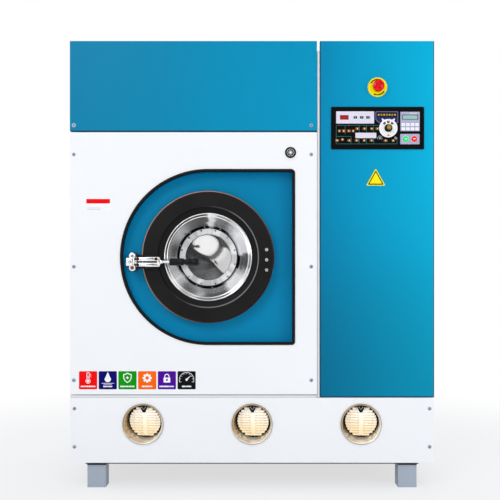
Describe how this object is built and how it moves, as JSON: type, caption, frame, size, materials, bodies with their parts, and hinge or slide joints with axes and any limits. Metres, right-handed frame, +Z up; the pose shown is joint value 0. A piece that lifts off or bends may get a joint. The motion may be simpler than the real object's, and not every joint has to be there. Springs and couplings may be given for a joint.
{
  "type": "dry cleaning machine",
  "caption": "Solvent dry cleaning machine: dished front-loading door, drum, solvent base with sight windows and an electrical cabinet with control panel.",
  "frame": {"origin": "middle of the machine's bounding box on the floor", "axes": "+Z up, the doors face -Y, the electrical cabinet is on the +X side"},
  "size_m": [1.275, 1.118, 1.568],
  "materials": {
    "white_paint": "satin white powder coat",
    "blue_paint": "satin blue powder coat",
    "black_satin": "black satin enamel",
    "frame_paint": "grey enamel",
    "dark_paint": "dark grey enamel",
    "stainless": "brushed stainless steel",
    "chrome": "polished chrome",
    "zinc": "zinc plated steel",
    "cast": "painted casting",
    "aluminium": "milled aluminium",
    "motor_blue": "motor enamel",
    "copper": "copper pipe and fins",
    "brass": "lacquered brass",
    "louvre": "cream plastic",
    "rubber": "black rubber",
    "glass": "clear tempered glass",
    "black_plastic": "black plastic",
    "grey_plastic": "pale lilac grey plastic",
    "yellow": "yellow plastic",
    "red": "red plastic",
    "green": "green plastic"
  },
  "bodies": {
    "cabinet": {"base_frame": "frame_paint", "spill_tray": "dark_paint", "solvent_tanks": "zinc", "base_panel": "white_paint", "sight_rings": "brass", "sight_louvres": "louvre", "front_panel": "white_paint", "top_fascia": "blue_paint", "recess_pan": "blue_paint", "recess_trim": "rubber", "side_panels": "white_paint", "rear_panel": "white_paint", "roof_panel": "white_paint", "panel_screws": "zinc", "lock_body": "chrome", "electrical_enclosure": "white_paint", "switchgear": "grey_plastic", "cabinet_hinges": "zinc", "tub": "stainless", "bearing_unit": "cast", "drum_motor": "motor_blue", "drive_belt": "rubber", "button_trap": "stainless", "fan_housing": "zinc", "fan_motor": "motor_blue", "air_coils": "aluminium", "lint_filter": "zinc", "cartridge_filter": "stainless", "still": "stainless", "compressor": "dark_paint", "solvent_pump": "motor_blue", "pipework": "copper", "door_strike": "zinc", "hinge_bracket": "zinc"},
    "loading_door": {"door_ring": "black_satin", "door_dish": "stainless", "glass_clamp": "stainless", "door_glass": "glass", "door_bolts": "zinc", "door_seal": "rubber", "hinge_leaf": "zinc", "latch_bracket": "zinc"},
    "latch": {"latch_lever": "chrome", "lever_grip": "black_plastic"},
    "drum": {"drum_shell": "stainless", "drum_ribs": "stainless", "drum_shaft": "cast"},
    "motor_rotor": {"motor_pulley": "cast"},
    "fan_rotor": {"fan_wheel": "zinc"},
    "lock_barrel": {"lock_core": "black_plastic"},
    "cabinet_door": {"electrical_door": "blue_paint", "control_panel": "black_plastic", "estop_collar": "yellow"},
    "estop_head": {"estop_button": "red"},
    "dial_knob": {"program_dial": "black_plastic"},
    "start_cap": {"start_button": "green"},
    "stop_cap": {"stop_button": "red"},
    "set_cap": {"set_key": "black_plastic"},
    "down_cap": {"down_key": "black_plastic"},
    "up_cap": {"up_key": "black_plastic"}
  },
  "joints": [
    {"name": "door_hinge", "type": "hinge", "parent": "cabinet", "child": "loading_door", "pos_m": [0.072, -0.493, 0.802], "axis": [0, 0, 1], "range_deg": [0, 95]},
    {"name": "latch_turn", "type": "hinge", "parent": "loading_door", "child": "latch", "pos_m": [-0.396, -0.545, 0.7945], "axis": [0, 0, -1], "range_deg": [0, 75]},
    {"name": "drum_spin", "type": "hinge", "parent": "cabinet", "child": "drum", "pos_m": [-0.154, 0.019, 0.812], "axis": [0, 1, 0], "continuous": true},
    {"name": "motor_spin", "type": "hinge", "parent": "cabinet", "child": "motor_rotor", "pos_m": [0.082, 0.149, 0.4815], "axis": [0, 1, 0], "continuous": true},
    {"name": "fan_spin", "type": "hinge", "parent": "cabinet", "child": "fan_rotor", "pos_m": [0, -0.121, 1.305], "axis": [1, 0, 0], "continuous": true},
    {"name": "lock_turn", "type": "hinge", "parent": "cabinet", "child": "lock_barrel", "pos_m": [0.1345, -0.521, 1.17675], "axis": [0, 1, 0], "range_deg": [0, 90]},
    {"name": "cabinet_door_hinge", "type": "hinge", "parent": "cabinet", "child": "cabinet_door", "pos_m": [0.6315, -0.493, 0.9], "axis": [0, 0, 1], "range_deg": [0, 100]},
    {"name": "estop_press", "type": "slide", "parent": "cabinet_door", "child": "estop_head", "axis": [0, 1, 0], "range_m": [0, 0.005], "stiffness_N_per_m": 900},
    {"name": "dial_turn", "type": "hinge", "parent": "cabinet_door", "child": "dial_knob", "pos_m": [0.476, -0.521, 1.2618], "axis": [0, 1, 0], "range_deg": [-150, 150]},
    {"name": "start_press", "type": "slide", "parent": "cabinet_door", "child": "start_cap", "axis": [0, 1, 0], "range_m": [0, 0.003], "stiffness_N_per_m": 600},
    {"name": "stop_press", "type": "slide", "parent": "cabinet_door", "child": "stop_cap", "axis": [0, 1, 0], "range_m": [0, 0.003], "stiffness_N_per_m": 600},
    {"name": "set_press", "type": "slide", "parent": "cabinet_door", "child": "set_cap", "axis": [0, 1, 0], "range_m": [0, 0.001], "stiffness_N_per_m": 500},
    {"name": "down_press", "type": "slide", "parent": "cabinet_door", "child": "down_cap", "axis": [0, 1, 0], "range_m": [0, 0.001], "stiffness_N_per_m": 500},
    {"name": "up_press", "type": "slide", "parent": "cabinet_door", "child": "up_cap", "axis": [0, 1, 0], "range_m": [0, 0.001], "stiffness_N_per_m": 500}
  ],
  "couplings": [
    {"joint": "motor_spin", "follows": "drum_spin", "ratio": 4.9241}
  ]
}
